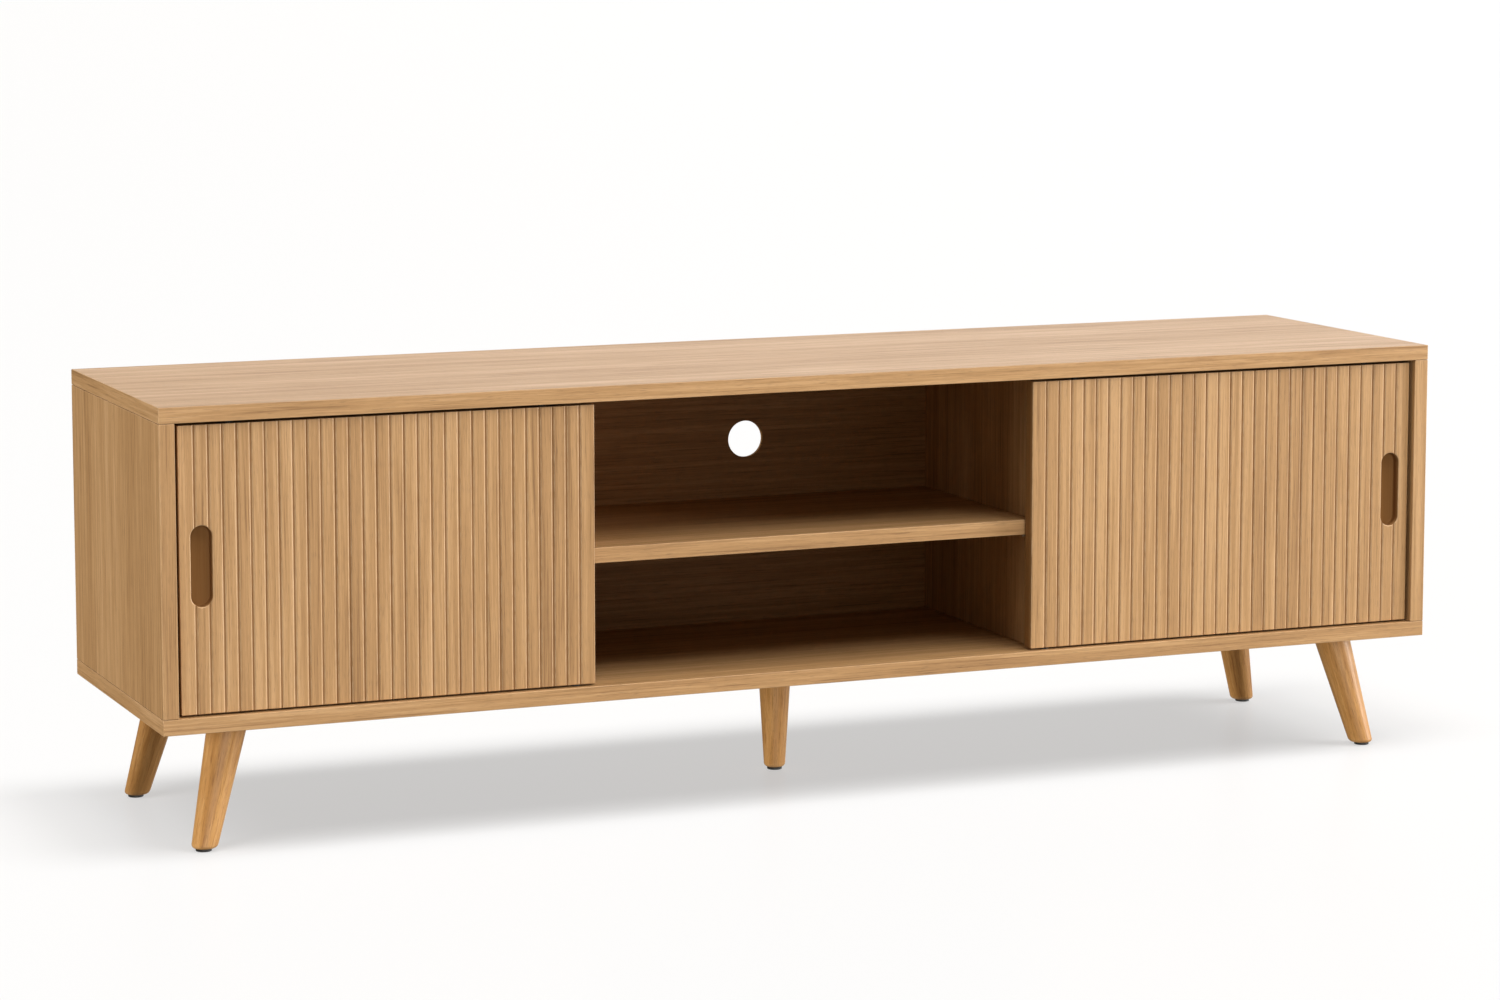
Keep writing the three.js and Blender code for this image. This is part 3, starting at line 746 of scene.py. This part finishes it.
def turned_leg(name, seed):
    """A tapered leg that leans from its glide to its bolt, with a bore for each."""
    node = f"{name}_leg"
    low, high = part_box(node)
    foot = box_middle(f"{name}_glide")
    top = box_middle(f"{name}_leg_bolt")
    glide_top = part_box(f"{name}_glide")[1].z
    bolt_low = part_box(f"{name}_leg_bolt")[0].z
    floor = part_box("bottom_panel")[0].z
    lean = ((top.x - foot.x) / floor, (top.y - foot.y) / floor)
    slimmer = CENTRE_LEG_SLIMMER if name == "centre" else 0.0
    foot_radius = LEG_RADIUS_FOOT - slimmer

    def ring(radius, z):
        return circle(radius, z, (foot.x + lean[0] * z, foot.y + lean[1] * z))

    stem = STEM_RADIUS + CLEARANCE
    rings = [circle(stem, z, (foot.x, foot.y)) for z in (glide_top + CLEARANCE, low.z)]
    for angle in arc(0, 90, 8):
        radius = foot_radius - LEG_EDGE * (1 - math.sin(angle))
        rings.append(ring(radius, low.z + LEG_EDGE * (1 - math.cos(angle))))
    rise = high.z - low.z - LEG_EDGE
    for step in range(1, LEG_STEPS + 1):
        share = step / LEG_STEPS
        radius = foot_radius + (LEG_RADIUS_TOP - LEG_RADIUS_FOOT) * share
        rings.append(ring(radius, low.z + LEG_EDGE + rise * share))
    for z in (high.z, bolt_low - CLEARANCE):
        rings.append(circle(LEG_BORE_RADIUS, z, (top.x, top.y)))
    leg = loft(f"{node}_turned", rings)
    smooth(leg)
    material = leg_oak(f"oak_{node}", node, lean, seed)
    settle(leg, material, "carcass", "solid_oak", node)


def glide(name, material):
    """A domed nail-on glide with a plain stem."""
    node = f"{name}_glide"
    low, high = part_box(node)
    middle = (low + high) / 2
    radius = (high.x - low.x) / 2
    edge = 0.8 * MM
    profile = []
    for angle in arc(0, 90):
        profile.append((radius - edge * (1 - math.sin(angle)), edge * (1 - math.cos(angle))))
    profile += [
        (radius, GLIDE_PAD - 0.3 * MM),
        (radius - 0.3 * MM, GLIDE_PAD),
        (STEM_RADIUS, GLIDE_PAD),
        (STEM_RADIUS, high.z - 0.8 * MM),
        (STEM_RADIUS - 0.8 * MM, high.z),
    ]
    piece = turned(f"{node}_pad", profile)
    piece.data.transform(Matrix.Translation((middle.x, middle.y, 0)))
    smooth(piece)
    settle(piece, material, "carcass", "black_plastic", node)


# Small hardware


def shelf_pin(shelf, end, row, material):
    """A turned pin with a collar against the panel and a chamfer on both ends."""
    node = f"{shelf}_pin_{end}_{row}"
    low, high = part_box(node)
    radius = (high.z - low.z) / 2 - PIN_COLLAR
    length = high.x - low.x
    collar = length / 2 + CLEARANCE
    profile = [
        (radius - 0.5 * MM, 0),
        (radius, 0.5 * MM),
        (radius, collar),
        (radius + PIN_COLLAR - 0.2 * MM, collar),
        (radius + PIN_COLLAR, collar + 0.2 * MM),
        (radius + PIN_COLLAR, collar + 0.8 * MM),
        (radius + PIN_COLLAR - 0.2 * MM, collar + 1 * MM),
        (radius, collar + 1 * MM),
        (radius, length - 0.6 * MM),
        (radius - 0.6 * MM, length),
    ]
    pin = turned(f"{node}_turned", profile, sides=32)
    # its root is in the panel at its own end of the shelf
    root, angle = (low.x, 90) if end == "left" else (high.x, -90)
    place = Matrix.Translation((root, (low.y + high.y) / 2, (low.z + high.z) / 2))
    pin.data.transform(place @ Matrix.Rotation(math.radians(angle), 4, "Y"))
    smooth(pin)
    settle(pin, material, "carcass", "pin_steel", node)


def guide_peg(node, material):
    """A guide peg with a root in the panel, a flange and a rounded head."""
    low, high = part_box(node)
    middle = (low + high) / 2
    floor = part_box("bottom_panel")[1].z
    flange = (high.x - low.x) / 2
    base = floor + CLEARANCE
    profile = [
        (PEG_ROOT_RADIUS - 0.5 * MM, low.z),
        (PEG_ROOT_RADIUS, low.z + 0.5 * MM),
        (PEG_ROOT_RADIUS, base),
        (flange, base),
        (flange, base + PEG_FLANGE - 0.3 * MM),
        (flange - 0.3 * MM, base + PEG_FLANGE),
        (PEG_RADIUS, base + PEG_FLANGE),
    ]
    tip = 1.2 * MM
    for angle in arc(0, 90):
        radius = PEG_RADIUS - tip * (1 - math.cos(angle))
        profile.append((radius, high.z - tip * (1 - math.sin(angle))))
    peg = turned(f"{node}_peg", profile, sides=32)
    peg.data.transform(Matrix.Translation((middle.x, middle.y, 0)))
    smooth(peg)
    settle(peg, material, "carcass", "black_plastic", node)


def roller(node, material):
    """Two crowned wheels on one axle, along Y."""
    low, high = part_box(node)
    middle = (low + high) / 2
    radius = (high.z - low.z) / 2
    half = (high.y - low.y) / 2
    inner, axle, crown = 2.3 * MM, 1.5 * MM, 0.4 * MM
    wheel = [
        (0.9 * MM, half - 0.3 * MM),
        (1.6 * MM, half - 0.3 * MM),
        (1.8 * MM, half),
        (radius - crown, half),
        (radius, half - crown),
        (radius, inner + crown),
        (radius - crown, inner),
        (axle, inner),
    ]
    profile = wheel + [(r, -z) for r, z in reversed(wheel)]
    piece = turned(f"{node}_wheels", profile, sides=40)
    turn = Matrix.Rotation(math.radians(90), 4, "X")
    piece.data.transform(Matrix.Translation(middle) @ turn)
    smooth(piece)
    settle(piece, material, node, "nylon", node)


def dress_hardware():
    pin_steel = metal("nickel_plated_steel", (0.62, 0.61, 0.58), 0.3, (300, 2500, 2500))
    zinc = metal("zinc_plated_steel", (0.60, 0.61, 0.63), 0.38, (700, 700, 250))
    black_zinc = metal("black_zinc_steel", (0.035, 0.034, 0.033), 0.42, (700, 250, 700))
    aluminium = metal("satin_aluminium", (0.72, 0.73, 0.75), 0.36, (12, 2600, 2600))
    black = plastic("black_plastic", (0.018, 0.017, 0.016), 0.5)
    nylon = plastic("natural_nylon", (0.72, 0.71, 0.66), 0.42)
    beech = beech_wood()
    for name in LEGS:
        glide(name, black)
        frame["nodes"][f"{name}_leg_bolt"].data.materials[0] = zinc
    for end, row in itertools.product(ENDS, ROWS):
        for shelf in SHELVES:
            shelf_pin(shelf, end, row, pin_steel)
        for level in ("top", "bottom"):
            frame["nodes"][f"{level}_{end}_{row}_dowel"].data.materials[0] = beech
    frame["nodes"]["door_track"].data.materials[0] = aluminium
    for door in DOORS:
        guide_peg(f"{door}_guide", black)
        for end in ENDS:
            frame["nodes"][f"{door}_{end}_hanger"].data.materials[0] = black_zinc
            roller(f"{door}_{end}_roller", nylon)


# Stage


def card(name, corners):
    """A flat four-cornered piece of the stage."""
    mesh = bpy.data.meshes.new(name)
    mesh.from_pydata(corners, [], [(0, 1, 2, 3)])
    obj = link(name, mesh)
    obj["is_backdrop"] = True
    return obj


def upright_card(name, left, right, low, high, y):
    """A card that faces the front."""
    return card(name, [(left, y, low), (right, y, low), (right, y, high), (left, y, high)])


def pale_floor():
    """A wide white floor that only the camera sees, so that it throws no light back."""
    sides = ((-1, -1), (1, -1), (1, 1), (-1, 1))
    floor = card("studio_floor", [(u * FLOOR_REACH, v * FLOOR_REACH, 0) for u, v in sides])
    floor.visible_diffuse = False
    floor.visible_glossy = False
    floor.visible_shadow = False
    shader = Shader("studio_floor")
    inputs = shader.surface.inputs
    inputs["Base Color"].default_value = (0.25, 0.25, 0.25, 1)
    inputs["Roughness"].default_value = 0.3
    inputs["IOR"].default_value = 1.05
    inputs["Emission Color"].default_value = WHITE
    inputs["Emission Strength"].default_value = FLOOR_GLOW
    floor.data.materials.append(shader.material)
    return floor


def flag(name, top):
    """An unseen card just inside the bays, up to a height, that keeps low light out of them."""
    left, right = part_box("left_side_panel")[1].x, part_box("right_side_panel")[0].x
    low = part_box("bottom_panel")[1].z
    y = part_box("centre_shelf")[0].y + FLAG_INSET
    unseen = upright_card(name, left, right, low, top, y)
    unseen.visible_camera = False
    unseen.visible_diffuse = False
    unseen.visible_glossy = False
    return unseen


def hole_card():
    """An unseen card behind the cable hole, so that no backdrop gleams on the shelf through it."""
    hole = opening_middle("cable_hole")
    half = CABLE_HOLE_RADIUS + HOLE_CARD_MARGIN
    left, right = hole.x - half, hole.x + half
    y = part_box("centre_back_panel")[1].y + HOLE_CARD_MARGIN
    unseen = upright_card("hole_card", left, right, hole.z - half, hole.z + half, y)
    unseen.visible_camera = False


def group(name, objects):
    """A collection that a light can be limited to."""
    collection = bpy.data.collections.new(name)
    for obj in objects:
        collection.objects.link(obj)
    return collection


def hang(lamp, azimuth, elevation, distance, lit, blocking):
    """Puts a lamp that way from the cabinet. Azimuth 0 stands in front and 90 to the right."""
    obj = bpy.data.objects.new(lamp.name, lamp)
    bpy.context.scene.collection.objects.link(obj)
    a, e = math.radians(azimuth), math.radians(elevation)
    towards = Vector((math.sin(a) * math.cos(e), -math.cos(a) * math.cos(e), math.sin(e)))
    obj.location = distance * towards
    obj.rotation_euler = towards.to_track_quat("Z", "Y").to_euler()
    obj.light_linking.receiver_collection = lit
    obj.light_linking.blocker_collection = blocking
    return obj


def sun(name, azimuth, elevation, strength, spread, lit, blocking):
    """A broad light from far away, as strong everywhere."""
    lamp = bpy.data.lights.new(name, "SUN")
    lamp.energy = math.pi * strength
    lamp.angle = math.radians(spread)
    return hang(lamp, azimuth, elevation, 0, lit, blocking)


def globe(name, azimuth, elevation, strength, spread, lit, blocking):
    """A round light, near enough to be stronger at one end, and as strong as a sun in between."""
    lamp = bpy.data.lights.new(name, "POINT")
    lamp.energy = 4 * math.pi**2 * GLOBE_DISTANCE**2 * strength
    lamp.shadow_soft_size = GLOBE_DISTANCE * math.tan(math.radians(spread / 2))
    return hang(lamp, azimuth, elevation, GLOBE_DISTANCE, lit, blocking)


def backdrop():
    """A white wall of light behind the cabinet, brightest to the right, in a dim warm room."""
    world = bpy.data.worlds.new("studio")
    bpy.context.scene.world = world
    shader = Nodes(world)
    direction = shader.places.outputs["Generated"]
    facing = shader.add(
        "ShaderNodeVectorMath", {0: direction, 1: (0.71, 0.71, 0)}, operation="DOT_PRODUCT"
    ).outputs["Value"]
    height = shader.split(direction)[2]
    behind = shader.math("POWER", shader.math("MAXIMUM", facing, 0.0), 3.0)
    above = shader.spread(height, -0.03, 0.03, smooth=True)
    below_top = shader.spread(height, 0.55, 0.8, 1.0, 0.0, smooth=True)
    wall = shader.math("MULTIPLY", shader.math("MULTIPLY", behind, above), below_top)
    background = world.node_tree.nodes["Background"]
    shader.feed(background.inputs["Color"], shader.mix(wall, ROOM_TINT, WHITE))
    glow = shader.math("MULTIPLY_ADD", wall, WALL_GLOW, ROOM_GLOW)
    shader.feed(background.inputs["Strength"], glow)


def lights(floor):
    """Every lamp, by its azimuth, elevation, strength, spread, what it lights and what shades."""
    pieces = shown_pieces()
    shelf_flag = flag("shelf_flag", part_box("centre_shelf")[1].z)
    bay_flag = flag("bay_flag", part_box("top_panel")[0].z)
    cabinet = group("cabinet", pieces)
    # the front light leaves the rear legs out, so that they stay in the cabinet's shade
    rear_legs = ("rear_left_leg_turned", "rear_right_leg_turned")
    facing = group("facing", [piece for piece in pieces if piece.name not in rear_legs])
    to_shelf = group("cabinet_and_shelf_flag", [*pieces, shelf_flag])
    to_top = group("cabinet_and_bay_flag", [*pieces, bay_flag])
    # only what is lowest shades the floor
    under = ("bottom_panel_board", "leg_turned", "glide_pad")
    shadow = group("underside", [piece for piece in pieces if piece.name.endswith(under)])
    sun("key_light", 32, 66, 0.76, 50, cabinet, cabinet)
    globe("low_light", 68, 8, 0.90, 30, cabinet, to_shelf)
    sun("front_light", -12, 6, 0.44, 40, facing, to_top)
    side = sun("side_light", -100, 6, 0.74, 40, cabinet, cabinet)
    # its gleam would turn the top white as seen from the right end
    side.visible_glossy = False
    sun("rear_light", 140, 8, 0.26, 60, cabinet, cabinet)
    ground = group("floor", [floor])
    # a long softbox over the floor, from its right end to its left end
    sun("floor_light_right", 62, 52, 0.90, 36, ground, shadow)
    sun("floor_light_above", 0, 82, 0.48, 36, ground, shadow)
    sun("floor_light_left", -62, 52, 0.62, 36, ground, shadow)


def camera():
    lens = bpy.data.cameras.new("camera")
    lens.lens = CAMERA_LENS
    lens.sensor_width = 36
    lens.shift_y = CAMERA_SHIFT
    lens.clip_end = 200
    obj = bpy.data.objects.new("camera", lens)
    bpy.context.scene.collection.objects.link(obj)
    obj.location = CAMERA_AT
    obj.rotation_euler = (math.pi / 2 - CAMERA_PITCH, 0, -CAMERA_YAW)
    bpy.context.scene.camera = obj


def set_stage():
    bpy.context.scene.view_settings.view_transform = "Standard"
    lights(pale_floor())
    hole_card()
    backdrop()
    camera()


dress_boards()
fluted_door("left_door", 31, 0.0)
# the right door's oak is painted paler, standing in for the stronger light that falls on it
fluted_door("right_door", 32, 0.05)
for leg_seed, leg_name in enumerate(LEGS):
    turned_leg(leg_name, 41 + leg_seed)
dress_hardware()
set_stage()
